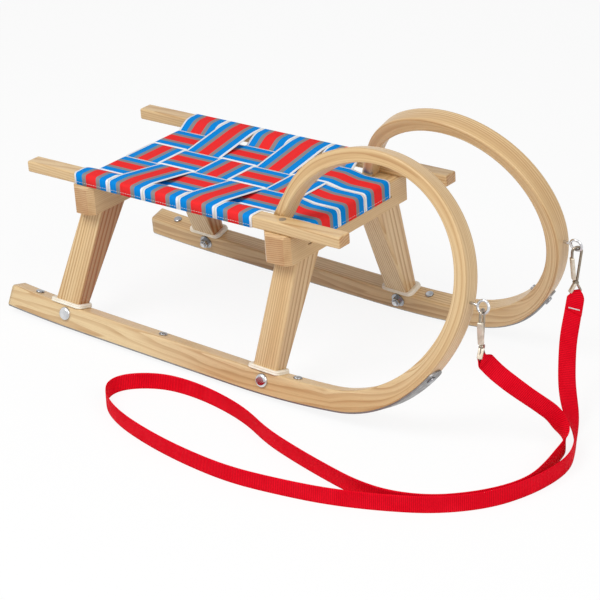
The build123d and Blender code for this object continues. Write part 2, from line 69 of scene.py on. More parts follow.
LENGTH_PITCH, LENGTH_WIDTH, LENGTH_COUNT, LENGTH_SHIFT = 0.062, 0.060, 3, 0.003
LEG_FEET = {"rear": (0.067, 0.113), "front": (0.4475, 0.489)}
COLLAR_REACH, COLLAR_WIDTH, COLLAR_ROUND = 0.008, 0.034, 0.009
TOW_WIDTH, TOW_THICK = 0.025, 0.0016
LOOP_WIRE, FOLD_EASE = 0.0018, 0.0004
HOOK_TURNS = {"right": radians(12), "left": radians(-36)}
SIDES = (("right", 1), ("left", -1))

LEAN = atan2(BASE_HALF - HORN_HALF, SEAT_HEIGHT)
LEAN_RISE = (RUNNER_WIDTH + SOLE_WIDTH) / 2 * sin(LEAN)
FOOT_MIDDLE = BEAM_FRONT - BEAM_FRONT_DEPTH
WEBBING_HALF = (LENGTH_PITCH * (LENGTH_COUNT - 1) + LENGTH_WIDTH) / 2 + LENGTH_SHIFT + WEB_GAP
SEAT_ORIGIN = np.array([SHIFT, 0.0, SEAT_HEIGHT])
SEAT_ALONG = np.array([cos(SEAT_TILT), 0.0, sin(SEAT_TILT)])
SEAT_UP = np.array([-sin(SEAT_TILT), 0.0, cos(SEAT_TILT)])
LEFTWARD, UPWARD = np.eye(3)[1:]


def on_seat(along, across, level):
    """Seat origin plus along, across and level measured down the seat's own three directions."""
    along, across, level = np.broadcast_arrays(along, across, level)
    return (SEAT_ORIGIN + along[..., None] * SEAT_ALONG + across[..., None] * LEFTWARD
            + level[..., None] * SEAT_UP)


def on_lean(along, rise, across, sign):
    """Point of a leaning runner: along it, up its plane and inward from its outer face; sign is 1
    on the right."""
    along, rise, across = np.broadcast_arrays(along, rise, across)
    y = -BASE_HALF + rise * sin(LEAN) + across * cos(LEAN)
    z = LEAN_RISE + rise * cos(LEAN) - across * sin(LEAN)
    return np.stack([SHIFT + along, sign * y, z], -1)


# Meshes
def enclosed(mesh, points):
    """Volume inside a closed mesh: a sixth of the sum of its triangles' triple products, negative
    if they face in."""
    mesh.calc_loop_triangles()
    corners = np.zeros(3 * len(mesh.loop_triangles), int)
    mesh.loop_triangles.foreach_get("vertices", corners)
    first, second, third = points[corners].reshape(-1, 3, 3).transpose(1, 0, 2)
    return np.sum(first * np.cross(second, third)) / 6


def mesh_piece(name, points, faces, maps, material, stands_for=()):
    """Object from an array of points and lists of faces, turned to face out; maps holds UV arrays,
    one row for each point."""
    mesh = bpy.data.meshes.new(name)
    mesh.from_pydata(points.tolist(), [], faces)
    if enclosed(mesh, points) < 0:
        mesh.flip_normals()
    corner = np.zeros(len(mesh.loops), int)
    mesh.loops.foreach_get("vertex_index", corner)
    for label, values in maps.items():
        layer = mesh.uv_layers.new(name=label)
        layer.data.foreach_set("uv", np.asarray(values, float)[corner].ravel())
    mesh.polygons.foreach_set("use_smooth", np.ones(len(mesh.polygons), bool))
    mesh.update()
    piece = bpy.data.objects.new(name, mesh)
    bpy.context.scene.collection.objects.link(piece)
    piece.data.materials.append(material)
    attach(piece, "root")
    if stands_for:
        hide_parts(*stands_for)
    return piece


def tube_faces(rings, sides):
    """Quads between neighbouring rings of a closed profile, with one many-sided cap at each end."""
    ring, side = np.meshgrid(np.arange(rings - 1), np.arange(sides), indexing="ij")
    after = (side + 1) % sides
    quads = np.stack([ring * sides + side, ring * sides + after, (ring + 1) * sides + after,
                      (ring + 1) * sides + side], -1).reshape(-1, 4)
    caps = [list(range(sides))[::-1], list(range((rings - 1) * sides, rings * sides))]
    return quads.tolist() + caps


def unit(rows):
    """Each row divided by its own length."""
    return rows / np.linalg.norm(rows, axis=1)[:, None]


def run_length(points):
    """Distance along a path of points, from its first point."""
    steps = np.linalg.norm(np.diff(points, axis=0), axis=1)
    return np.concatenate([[0.0], np.cumsum(steps)])


def smooth_rise(x):
    """0 below 0, 1 above 1 and the cubic 3x^2 - 2x^3 between."""
    x = np.clip(x, 0, 1)
    return x * x * (3 - 2 * x)


# Share of its width over which webbing thins towards each edge
EDGE_SHARE = 0.06


def band_profile(width, thick, columns=16, selvage=0.55):
    """Closed outline of flat webbing as (across, out) rows: two faces that close up to thin
    edges."""
    across = np.linspace(-0.5, 0.5, columns)
    edge = smooth_rise((0.5 - np.abs(across)) / EDGE_SHARE)
    half = thick / 2 * (selvage + (1 - selvage) * edge)
    return np.vstack([np.column_stack([across * width, -half]),
                      np.column_stack([across[::-1] * width, half[::-1]])])


def band(name, path, wide, out, profile, material, stands_for=()):
    """Webbing: point + across * wide + off * out for each row (across, off) of the profile at each
    path point. The UV map "cloth" holds the share of the width and the distance along in metres."""
    points = (path[:, None, :] + profile[None, :, :1] * wide[:, None, :]
              + profile[None, :, 1:] * out[:, None, :])
    share = profile[:, 0] / np.ptp(profile[:, 0]) + 0.5
    along = run_length(path)
    cloth = np.stack(np.broadcast_arrays(share[None, :], along[:, None]), -1).reshape(-1, 2)
    return mesh_piece(name, points.reshape(-1, 3), tube_faces(len(path), len(profile)),
                      {"cloth": cloth}, material, stands_for)


def rounded_path(corners, eases, steps=7):
    """Path past a row of corners, each bent on the parabola from ease before it to ease after it."""
    ends = corners[1:-1]
    ease = np.asarray(eases, float)[:, None]
    back = ends + unit(corners[:-2] - ends) * ease
    ahead = ends + unit(corners[2:] - ends) * ease
    t = np.linspace(0, 1, steps)[None, :, None]
    bends = (1 - t) ** 2 * back[:, None] + 2 * t * (1 - t) * ends[:, None] + t ** 2 * ahead[:, None]
    return np.vstack([corners[:1], bends.reshape(-1, 2), corners[-1:]])


def side_normals(path):
    """Unit normals of a plane path, a quarter turn to the left of its heading."""
    heading = unit(np.gradient(path, axis=0))
    return np.column_stack([-heading[:, 1], heading[:, 0]])


# Shader sockets
class Wire:
    """A shader socket; sums, differences and products of wires add Math nodes."""

    def __init__(self, tree, socket=None):
        self.tree, self.socket = tree, socket

    def node(self, kind, settings=None, sockets=None, out=0):
        """New node of a kind: its settings first, then values or wires for its sockets."""
        made = self.tree.nodes.new(kind)
        for key, value in (settings or {}).items():
            if key == "stops":
                made.color_ramp.interpolation = "CONSTANT"
                ramp = made.color_ramp.elements
                for place, (at, colour) in enumerate(value):
                    stop = ramp[place] if place < 2 else ramp.new(at)
                    stop.position, stop.color = at, (*colour, 1)
            else:
                setattr(made, key, value)
        for key, value in (sockets or {}).items():
            if isinstance(value, Wire):
                self.tree.links.new(value.socket, made.inputs[key])
            else:
                made.inputs[key].default_value = value
        return Wire(self.tree, None if out is None else made.outputs[out])

    def math(self, operation, *values):
        """Math node of an operation on the given values."""
        return self.node("ShaderNodeMath", {"operation": operation}, dict(enumerate(values)))

    def __add__(self, other):
        return self.math("ADD", self, other)

    def __radd__(self, other):
        return self.math("ADD", other, self)

    def __sub__(self, other):
        return self.math("SUBTRACT", self, other)

    def __rsub__(self, other):
        return self.math("SUBTRACT", other, self)

    def __mul__(self, other):
        return self.math("MULTIPLY", self, other)

    def __rmul__(self, other):
        return self.math("MULTIPLY", other, self)

    def sine(self):
        """Sine of this wire."""
        return self.math("SINE", self)

    def size(self):
        """This wire without its sign."""
        return self.math("ABSOLUTE", self)

    def fraction(self):
        """What this wire is above the whole number below it."""
        return self.math("FRACT", self)

    def larger(self, other):
        """The larger of this wire and another."""
        return self.math("MAXIMUM", self, other)

    def parts(self):
        """The three numbers of this vector."""
        split = self.node("ShaderNodeSeparateXYZ", None, {0: self})
        return [Wire(self.tree, socket) for socket in split.socket.node.outputs]

    def ramp(self, low, high, floor=0.0, roof=1.0):
        """Smooth step from floor at low to roof at high."""
        return self.node("ShaderNodeMapRange", {"interpolation_type": "SMOOTHSTEP"},
                         {0: self, 1: low, 2: high, 3: floor, 4: roof})

    def noise(self, scale, detail=2.0, rough=0.5):
        """Noise value at this vector."""
        return self.node("ShaderNodeTexNoise", None,
                         {"Vector": self, "Scale": scale, "Detail": detail, "Roughness": rough})

    def mix(self, first, second):
        """Colour between first and second by this wire."""
        first, second = [(*c, 1) if isinstance(c, tuple) else c for c in (first, second)]
        return self.node("ShaderNodeMix", {"data_type": "RGBA"}, {0: self, 6: first, 7: second}, 2)

    def stretch(self, scale, place=(0, 0, 0), turn=(0, 0, 0)):
        """This vector scaled, turned and moved to place by a Mapping node."""
        return self.node("ShaderNodeMapping", None,
                         {"Vector": self, "Location": place, "Rotation": turn, "Scale": scale})


def rgb(red, green, blue):
    """Linear colour from three screen values of 0 to 255."""
    return tuple(((v / 255 + 0.055) / 1.055) ** 2.4 if v > 10 else v / 3294
                 for v in (red, green, blue))


def finish_of(name, paint, **fixed):
    """Material: paint(start) returns wires or values for the shader's sockets, and fixed holds
    constants."""
    material = bpy.data.materials.new(name)
    material.use_nodes = True
    tree = material.node_tree
    shader = tree.nodes["Principled BSDF"]
    for socket, value in paint(Wire(tree)).items():
        if isinstance(value, Wire):
            tree.links.new(value.socket, shader.inputs[socket])
        else:
            shader.inputs[socket].default_value = value
    for socket, value in fixed.items():
        shader.inputs[socket.replace("_", " ")].default_value = value
    return material


def plain_spot(start):
    """Object coordinates in metres."""
    return start.node("ShaderNodeTexCoord", out=3)


def bump(start, height, strength, distance):
    """Normal from a height wire."""
    return start.node("ShaderNodeBump", None,
                      {"Strength": strength, "Distance": distance, "Height": height})


# Ash
ASH_PALE, ASH_TAN = rgb(232, 206, 160), rgb(218, 184, 133)
# The third brown here is for darker faces: end grain, and painted shade on the legs.
ASH_LATE, ASH_PORE, ASH_END_GRAIN_AND_SHADE = rgb(176, 128, 76), rgb(150, 104, 58), rgb(164, 96, 36)
OILED = {"Coat_Weight": 0.2, "Coat_Roughness": 0.25}


def ash_paint(start, grain, across_rings, depth_rings, figure, tone, lines, edge=None):
    """Ash: growth rings cut as fract(depth * rings + width * rings + slow noise), a late-wood line
    at the end of each ring, pores at its start, fine fibres and a slow drift of colour. The grain
    runs down the vector's first number. tone darkens the whole piece, lines is the strength of its
    rings, and edge is a wire for faces painted darker: end grain, and painted shade on faces that
    lie in shade."""
    def streaks(along, across, place=(0, 0, 0), detail=2, rough=0.5):
        """Noise drawn out down the grain: so many patches to the metre along and across."""
        return grain.stretch((along, across, across), place).noise(1.0, detail, rough)

    _, depth, width = grain.parts()
    drift = streaks(2.4, 22)
    sway = streaks(3.2, 34, (3, 1, 2), 2, 0.45)
    phase = (depth * depth_rings + width * across_rings + sway * figure).fraction()
    late = phase.ramp(0.35, 0.92) - phase.ramp(0.93, 1.0)
    fibre = streaks(14, 1100, detail=3, rough=0.6)
    pores = streaks(70, 3000, rough=0.6).ramp(0.56, 0.72)
    vary = streaks(1.5, 90, (7, 2, 5))
    streak = streaks(1.1, 48, (5, 9, 4)).ramp(0.52, 0.74)
    plain = drift.ramp(0.3, 0.72, tone, 1.0).mix(ASH_PALE, ASH_TAN)
    base = (streak * 0.36).mix(plain, ASH_LATE)
    rings = (late * vary.ramp(0.3, 0.75, 0.22 * lines, 0.66 * lines)).mix(base, ASH_LATE)
    fine = (fibre.ramp(0.42, 0.78) * 0.30).mix(rings, ASH_LATE)
    colour = (pores * phase.ramp(0.05, 0.5, 0.42, 0.10)).mix(fine, ASH_PORE)
    # Faces picked by edge are painted a darker brown: end grain on some pieces, painted shade on the
    # legs.
    if edge is not None:
        colour = (edge * (0.30 + late * 0.25)).mix(colour, ASH_END_GRAIN_AND_SHADE)
    height = fibre * 0.5 - pores * 0.5 - late * 0.15
    return {"Base Color": colour, "Roughness": fibre.ramp(0.2, 0.8, 0.36, 0.50),
            "Normal": bump(start, height, 0.2, 0.0004)}


BOARD_FIGURE = 1.6


def ash_board(name, turn, place, across_rings, depth_rings, tone, lines, darker_faces_axis, grain_and_shade_depth):
    """Ash for a straight piece: the grain runs down X after the turn, and faces along one axis
    are painted darker: end grain on the rails and beams, painted shade on the legs. Rings are
    counted to the metre."""
    def paint(start):
        grain = plain_spot(start).stretch((1, 1, 1), place, turn)
        facing = start.node("ShaderNodeNewGeometry", out=3).parts()[darker_faces_axis].size()
        return ash_paint(start, grain, across_rings, depth_rings, BOARD_FIGURE, tone, lines,
                         facing.ramp(0.55, 0.9) * grain_and_shade_depth)
    return finish_of(name, paint, **OILED)


# Tone of each runner's wood; the left one, the far runner under the seat, is toned darker as painted
# shade.
RUNNER_TONES_AND_SHADE = {"right": 0.1, "left": 0.4}
RUNNER_ACROSS_RINGS, RUNNER_DEPTH_RINGS, RUNNER_FIGURE, RUNNER_LINES = 240, 60, 4.4, 1.25


def ash_bent(name, place, tone):
    """Ash that follows a bend: the maps hold distance along, depth and width of the runner."""
    def paint(start):
        along, depth, _ = start.node("ShaderNodeUVMap", {"uv_map": "grain"}).parts()
        width = start.node("ShaderNodeUVMap", {"uv_map": "width"}).parts()[0]
        spot = start.node("ShaderNodeCombineXYZ", None, {0: along, 1: depth, 2: width})
        return ash_paint(start, spot.stretch((1, 1, 1), place), RUNNER_ACROSS_RINGS,
                         RUNNER_DEPTH_RINGS, RUNNER_FIGURE, tone, RUNNER_LINES)
    return finish_of(name, paint, **OILED)


# Webbing
BLUE, RED = rgb(0, 142, 230), rgb(250, 50, 50)
GREY, WHITE = rgb(146, 144, 145), rgb(250, 250, 249)
# Share of the width at which each stripe starts
STRIPES = [(0.00, WHITE), (0.055, BLUE), (0.235, GREY), (0.35, RED), (0.65, GREY), (0.765, BLUE),
           (0.945, WHITE)]
SEAT_WEAR, SEAT_SHADE, SEAT_LINT = rgb(90, 90, 100), rgb(8, 16, 40), rgb(235, 235, 238)
TOW_DEEP, TOW_BRIGHT = rgb(236, 4, 32), rgb(246, 14, 40)
TOW_SHADE, TOW_LINT = rgb(150, 0, 16), rgb(252, 60, 72)
SEAT_RIB, SEAT_YARNS = 0.0016, 44
TOW_RIB, TOW_YARNS = 0.0026, 26


def cloth_weave(start, rib_pitch, yarns, slant):
    """Warp yarns over cross ribs: two sine waves, one across the width and one along the band."""
    cloth = start.node("ShaderNodeUVMap", {"uv_map": "cloth"})
    share, along, _ = cloth.parts()
    yarn = (share * (2 * pi * yarns)).sine()
    rib = (along * (2 * pi / rib_pitch) + share * (slant * yarns * pi)).sine()
    fuzz = cloth.stretch((160, 5200, 1)).noise(1.0, 2)
    return share, yarn, rib, fuzz


def striped_webbing(start):
    """Striped twill: seven stripes over the width, with painted shade between the yarns and slow
    patches of wear."""
    share, yarn, rib, fuzz = cloth_weave(start, SEAT_RIB, SEAT_YARNS, 1)
    height = yarn * 0.35 + rib * 0.5
    stripes = start.node("ShaderNodeValToRGB", {"stops": STRIPES}, {0: share})
    patch = plain_spot(start).noise(22, 3).ramp(0.35, 0.75)
    worn = (patch * 0.04).mix(stripes, SEAT_WEAR)
    # Painted shade: a darker navy in the low places between yarns and ribs.
    shade = height.ramp(-0.85, 0.1, 0.22, 0.0).mix(worn, SEAT_SHADE)
    lint = (fuzz.ramp(0.6, 0.9) * 0.03).mix(shade, SEAT_LINT)
    return {"Base Color": lint, "Roughness": fuzz.ramp(0.2, 0.8, 0.6, 0.85),
            "Normal": bump(start, height, 0.4, 0.0003)}


def tow_webbing(start):
    """Ribbed webbing: strong cross ribs and faint lengthwise yarns, flatter at the two edges, and
    painted shade between the ribs.
    """
    share, yarn, rib, fuzz = cloth_weave(start, TOW_RIB, TOW_YARNS, 0)
    edge = (share - 0.5).size().ramp(0.44, 0.49)
    height = (rib * 0.9 + yarn * 0.1) * (1 - edge * 0.6)
    patch = plain_spot(start).noise(30, 3).ramp(0.3, 0.75)
    base = patch.mix(TOW_DEEP, TOW_BRIGHT)
    # Painted shade: a darker red in the grooves between the ribs.
    shade = height.ramp(-0.9, 0.35, 0.52, 0.0).mix(base, TOW_SHADE)
    lint = (fuzz.ramp(0.6, 0.9) * 0.08).mix(shade, TOW_LINT)
    return {"Base Color": lint, "Roughness": fuzz.ramp(0.2, 0.8, 0.55, 0.8),
            "Normal": bump(start, height, 0.5, 0.0004)}


# Steel, rubber and thread
CREAM_PALE, CREAM_DARK = rgb(247, 240, 224), rgb(232, 221, 196)
THREAD_DARK, THREAD_PALE = rgb(206, 206, 206), rgb(232, 232, 230)


def plated(pale, dark, low, high):
    """Plated steel: clouds of colour and of roughness from low to high, and small scuffs."""
    def paint(start):
        spot = plain_spot(start)
        cloud = spot.noise(90, 4)
        scuff = spot.stretch((600, 140, 600)).noise(1.0, 3, 0.7).ramp(0.58, 0.78)
        return {"Base Color": (cloud.ramp(0.3, 0.7) * 0.6 + scuff * 0.3).mix(pale, dark),
                "Metallic": 1.0, "Roughness": cloud.ramp(0.3, 0.7, low, high) + scuff * 0.12,
                "Normal": bump(start, cloud, 0.08, 0.0003)}
    return paint


def cream_rubber(start):
    """Cream rubber: slow clouds of colour and roughness over a fine grit."""
    spot = plain_spot(start)
    cloud = spot.noise(120, 4)
    grit = spot.noise(2600, 2)
    return {"Base Color": (cloud.ramp(0.35, 0.75) * 0.5).mix(CREAM_PALE, CREAM_DARK),
            "Roughness": cloud.ramp(0.3, 0.7, 0.5, 0.65), "Normal": bump(start, grit, 0.15, 0.0002)}


def thread_white(start):
    """White thread: fine noise for its twist, in colour and height."""
    twist = plain_spot(start).noise(3000, 2)
    return {"Base Color": twist.ramp(0.3, 0.7).mix(THREAD_DARK, THREAD_PALE), "Roughness": 0.8,
            "Normal": bump(start, twist, 0.3, 0.0002)}


def steel(name, pale, dark, low, high):
    """Material of plated steel."""
    return finish_of(name, plated(rgb(*pale), rgb(*dark), low, high))


SEAT_CLOTH = finish_of("seat_webbing_striped", striped_webbing, Specular_IOR_Level=0.06)
TOW_CLOTH = finish_of("tow_webbing_red", tow_webbing, Specular_IOR_Level=0.05)
THREAD = finish_of("stitch_thread", thread_white)
SOLE_STEEL = steel("sole_steel", (152, 150, 149), (122, 120, 119), 0.30, 0.48)
DULL_STEEL = steel("dull_zinc_steel", (178, 172, 162), (138, 130, 120), 0.38, 0.55)
GREY_STEEL = steel("grey_plated_steel", (176, 177, 180), (104, 105, 108), 0.12, 0.26)
BRIGHT_STEEL = steel("bright_plated_steel", (220, 221, 223), (164, 166, 170), 0.10, 0.22)
NICKEL = steel("nickel_plate", (174, 162, 146), (82, 70, 58), 0.10, 0.22)
PLATE_NICKEL = steel("nickel_plate_sheet", (226, 216, 200), (176, 162, 142), 0.34, 0.48)
RUBBER = finish_of("cream_rubber", cream_rubber)

# Camera at the photograph's viewing angle: metres, degrees and millimetres
CAMERA_PLACE, CAMERA_TURN = (1.8981, -2.3722, 1.5458), (63.9251, 1.7954, 37.6791)
CAMERA_LENS, CAMERA_SENSOR = 137.53, 36.0
camera = bpy.data.objects.new("camera", bpy.data.cameras.new("camera"))
bpy.context.scene.collection.objects.link(camera)
camera.location = CAMERA_PLACE
camera.rotation_euler = tuple(radians(angle) for angle in CAMERA_TURN)
camera.data.lens, camera.data.sensor_width = CAMERA_LENS, CAMERA_SENSOR
bpy.context.scene.camera = camera

# Tow strap: route from the right hook down, over the floor (in millimetres) and up to the left hook
TOW_NEAR = [(0.4115, -0.1157, 0.1289), (0.421, -0.110, 0.116), (0.434, -0.103, 0.1030),
            (0.455, -0.091, 0.084), (0.473, -0.078, 0.067), (0.488, -0.065, 0.050),
            (0.499, -0.060, 0.028)]
TOW_FLOOR = [(507, -66), (512, -82), (516, -106), (522, -140), (525, -180), (513, -219),
             (486, -260), (447, -297), (397, -318), (346, -320.5), (292, -311), (229, -297),
             (164, -279),
             (107, -252), (47, -237), (-13, -231.5), (-62, -239), (-102, -268), (-109, -300),
             (-83, -332), (-35, -357), (35, -375), (110, -385.5), (186, -388), (257, -376),
             (327, -359), (397, -330), (457, -296), (504, -247), (528, -194), (538, -144),
             (537, -104), (522, -67), (501, -37)]
TOW_FAR = [(0.476, -0.004, 0.022), (0.452, 0.0245, 0.040), (0.4385, 0.045, 0.064),
           (0.426, 0.068, 0.090), (0.413, 0.100, 0.110), (0.4083, 0.1140, 0.1283)]
tow_route = TOW_NEAR + [(x / 1000, y / 1000, TOW_WIDTH / 2) for x, y in TOW_FLOOR] + TOW_FAR
TOW_DETAIL = 10


def spline_points(name, route, detail):
    """Points of the smooth NURBS spline that has the route as its control points."""
    line = bpy.data.curves.new(name, "CURVE")
    line.dimensions, line.resolution_u = "3D", detail
    spline = line.splines.new("NURBS")
    spline.points.add(len(route) - 1)
    spline.points.foreach_set("co", np.column_stack([route, np.ones(len(route))]).ravel())
    spline.order_u, spline.use_endpoint_u = 3, True
    holder = bpy.data.objects.new(name, line)
    mesh = bpy.data.meshes.new_from_object(holder)
    points = np.zeros(len(mesh.vertices) * 3)
    mesh.vertices.foreach_get("co", points)
    bpy.data.objects.remove(holder)
    bpy.data.meshes.remove(mesh)
    bpy.data.curves.remove(line)
    return points.reshape(-1, 3)


tow_path = spline_points("tow_route", tow_route, TOW_DETAIL)
tow_along = run_length(tow_path)
tow_left = tow_along[-1] - tow_along
heading = unit(np.gradient(tow_path, axis=0))


def hook_frame(side):
    """Middle of a hook's bar, the way that the hook faces and the bar's direction, square to it and
    level."""
    low, high = (np.array(corner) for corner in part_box(f"hook_{side}"))
    turn = HOOK_TURNS[side]
    bar = np.array([*(low + high)[:2] / 2, low[2] + LOOP_WIRE])
    return bar, np.array([cos(turn), sin(turn), 0.0]), np.array([-sin(turn), cos(turn), 0.0])


# On edge along the floor, turning towards each hook's bar at the two ends: the near turn is done
# NEAR_TURN from the start, and the far one runs for FAR_TURN from FAR_START before the end
NEAR_WIDE = np.array([0.30, 0.80, 0.52])
NEAR_TURN, FAR_START, FAR_TURN = 0.090, 0.268, 0.140
TOW_COLUMNS, TOW_SELVAGE = 10, 0.7
near_share = 1 - smooth_rise(tow_along / NEAR_TURN)
far_share = smooth_rise((FAR_START - tow_left) / FAR_TURN)
tow_wide = (UPWARD * (1 - near_share - far_share)[:, None] + NEAR_WIDE * near_share[:, None]
            - hook_frame("left")[2] * far_share[:, None])
tow_wide = unit(tow_wide - heading * np.sum(tow_wide * heading, axis=1)[:, None])
tow_out = np.cross(heading, tow_wide)
tow_strap = band("tow_strap_ribbon", tow_path, tow_wide, tow_out,
                 band_profile(TOW_WIDTH, TOW_THICK, TOW_COLUMNS, TOW_SELVAGE),
                 TOW_CLOTH, ["tow_strap"])


# Stitches: rings and sides of each, and how far short of its point the first ring lies
STITCH_RINGS, STITCH_SIDES, STITCH_TIP = 7, 6, 0.06


def stitch_row(name, centres, along, across, length, radius):
    """Row of stitches: each is an ellipsoid-ended rod, centre + along * length * cos(u) / 2
    + radius * sin(u)^0.6 * (across * cos(v) + out * sin(v))."""
    steps = np.linspace(STITCH_TIP, pi - STITCH_TIP, STITCH_RINGS)
    sides = np.arange(STITCH_SIDES) * (2 * pi / STITCH_SIDES)
    out = np.cross(along, across)
    ring = np.cos(sides)[:, None] * across + np.sin(sides)[:, None] * out
    rod = (np.cos(steps)[:, None, None] * along * length / 2
           + (np.sin(steps) ** 0.6)[:, None, None] * radius * ring[None])
    points = (centres[:, None, None] + rod[None]).reshape(-1, 3)
    size = len(steps) * len(sides)
    one = tube_faces(len(steps), len(sides))
    faces = [[corner + size * rank for corner in face]
             for rank in range(len(centres)) for face in one]
    return mesh_piece(name, points, faces, {}, THREAD)


# Folded ends of the tow strap, each sewn with one white bar of stitches
TAIL_LENGTH, TAIL_SLANT, LAYER_STEP = 0.024, 0.006, 0.0017
TAIL_SIDE = {"right": np.array([-1.0, 1.0, 0.0]), "left": np.array([1.0, -1.0, 0.0])}
TAIL_STEPS, FOLD_STEPS, RISE_STEPS, FOLD_COLUMNS = 13, 13, 7, 12
# Width of the webbing in the hook's loop, and how late it narrows to it
BAR_BREADTH, NARROWING = 0.0145, 1.6
SEW_AT, SEW_LIFT = 0.0165, 0.0002
SEW_COUNT, SEW_PITCH, SEW_LENGTH, SEW_RADIUS = 27, 0.00062, 0.0019, 0.00038


def strap_end(side):
    """Webbing carried up the strap's own line as a second layer, over the hook's bar on a half
    circle and back down to the strap; its width narrows to the bar, and the tail's cut end
    slants."""
    bar, _, bar_line = hook_frame(side)
    order = slice(None, None, 1 if side == "right" else -1)
    strap_line = tow_path[order]
    along = run_length(strap_line)
    at = np.linspace(TAIL_LENGTH, 0, TAIL_STEPS)
    layer, layer_wide, layer_out = (
        np.column_stack([np.interp(at, along, values[order][:, axis]) for axis in range(3)])
        for values in (tow_path, tow_wide, tow_out))
    layer_out = layer_out * np.sign(layer_out[-1] @ TAIL_SIDE[side])
    across = bar_line * np.sign(bar_line @ layer_wide[-1])
    front = layer_out[-1] - across * (layer_out[-1] @ across)
    front /= np.linalg.norm(front)
    top = np.cross(across, front)
    top *= np.sign(top @ (bar - strap_line[0]))
    turn = np.linspace(0, pi, FOLD_STEPS)[:, None]
    fold_radius = LOOP_WIRE + FOLD_EASE + TOW_THICK / 2
    loop = bar + fold_radius * (np.cos(turn) * front + np.sin(turn) * top)
    share = np.linspace(0, 1, RISE_STEPS)[:, None]
    tail = layer + layer_out * LAYER_STEP
    up = tail[-1] + (loop[0] - tail[-1]) * share
    down = loop[-1] + (strap_line[0] - loop[-1]) * share
    line = np.vstack([tail[:-1], up[:-1], loop[:-1], down])
    beyond = len(line) - len(tail) + 1
    blend = np.concatenate([np.zeros(len(tail) - 1), share[:-1, 0], np.ones(len(loop) - 1),
                            1 - share[:, 0]])[:, None]
    wide = np.vstack([layer_wide[:-1], np.repeat(layer_wide[-1:], beyond, axis=0)])
    wide = unit(wide * (1 - blend) + across * blend)
    ahead = unit(np.gradient(line, axis=0))
    out = np.cross(ahead, wide)
    profile = band_profile(1.0, TOW_THICK, FOLD_COLUMNS, TOW_SELVAGE)
    breadth = TOW_WIDTH + (BAR_BREADTH - TOW_WIDTH) * blend ** NARROWING
    slant = TAIL_SLANT * np.concatenate([np.linspace(1, 0, len(tail) - 1) ** 3, np.zeros(beyond)])
    points = (line[:, None] + (profile[:, :1] * breadth[:, None]) * wide[:, None]
              + profile[:, 1:] * out[:, None]
              + (slant[:, None] * (profile[:, 0] + 0.5))[..., None] * ahead[:, None])
    cloth = np.stack(np.broadcast_arrays(profile[None, :, 0] + 0.5, run_length(line)[:, None]), -1)
    folded = mesh_piece(f"tow_strap_end_{side}", points.reshape(-1, 3),
                        tube_faces(len(line), len(profile)), {"cloth": cloth.reshape(-1, 2)},
                        TOW_CLOTH, [f"tow_fold_{side}"])
    seam = np.argmin(np.abs(at - SEW_AT))
    spread = (np.arange(SEW_COUNT) - (SEW_COUNT - 1) / 2)[:, None] * SEW_PITCH
    centres = (tail[seam] + layer_out[seam] * (TOW_THICK / 2 + SEW_LIFT)
               + spread * layer_wide[seam])
    sewing = stitch_row(f"tow_stitches_{side}", centres, ahead[seam], layer_wide[seam], SEW_LENGTH,
                        SEW_RADIUS)
    return folded, sewing


# Sheet sleeves of the hooks. Spots on a hook, (along the bar, up) from the middle of its bar: nose
# end, gate foot, knuckle and the loop's near corner
NOSE, GATE_FOOT = (-0.0067, 0.0545), (-0.0032, 0.0206)
KNUCKLE, LOOP_CORNER = (-0.0008, 0.0148), (-0.0086, 0.0012)
GATE_THICK, GATE_BROAD, PLATE_THICK, PLATE_BROAD = 0.0050, 0.0082, 0.0040, 0.0076
SLEEVE_SIDES, SLEEVE_SQUARE = 24, 0.35
# Share of the way from start to end, and size of the sleeve there
SLEEVE_SHARES = np.array([0.0, 0.015, 0.05, 0.3, 0.5, 0.7, 0.95, 0.985, 1.0])
SLEEVE_SIZES = np.array([0.80, 0.94, 1.0, 1.0, 1.0, 1.0, 1.0, 0.94, 0.80])


def hook_plate(name, side, start, end, thick, broad, stands_for=()):
    """Folded sheet sleeve: a rounded rectangle, each number of a circle's point raised to a power
    below one, carried from start to end and drawn in a little at both. It is thick in the hook's
    plane and broad through it."""
    bar, facing, along_bar = hook_frame(side)
    start, end = (bar + along_bar * a + UPWARD * b for a, b in (start, end))
    ahead = (end - start) / np.linalg.norm(end - start)
    side_way = np.cross(ahead, facing)
    turn = np.linspace(0, 2 * pi, SLEEVE_SIDES, endpoint=False)
    circle = np.column_stack([np.cos(turn), np.sin(turn)])
    outline = np.sign(circle) * np.abs(circle) ** SLEEVE_SQUARE / 2
    section = outline[:, :1] * thick * side_way + outline[:, 1:] * broad * facing
    points = ((start + SLEEVE_SHARES[:, None] * (end - start))[:, None]
              + SLEEVE_SIZES[:, None, None] * section)
    return mesh_piece(name, points.reshape(-1, 3), tube_faces(len(SLEEVE_SHARES), SLEEVE_SIDES), {},
                      PLATE_NICKEL, stands_for)


end_pieces = [piece for side in HOOK_TURNS for piece in strap_end(side)]
for side in HOOK_TURNS:
    end_pieces.append(hook_plate(f"hook_gate_sleeve_{side}", side, NOSE, GATE_FOOT, GATE_THICK,
                                 GATE_BROAD, [f"hook_gate_{side}"]))
    end_pieces.append(hook_plate(f"hook_loop_plate_{side}", side, KNUCKLE, LOOP_CORNER, PLATE_THICK,
                                 PLATE_BROAD))

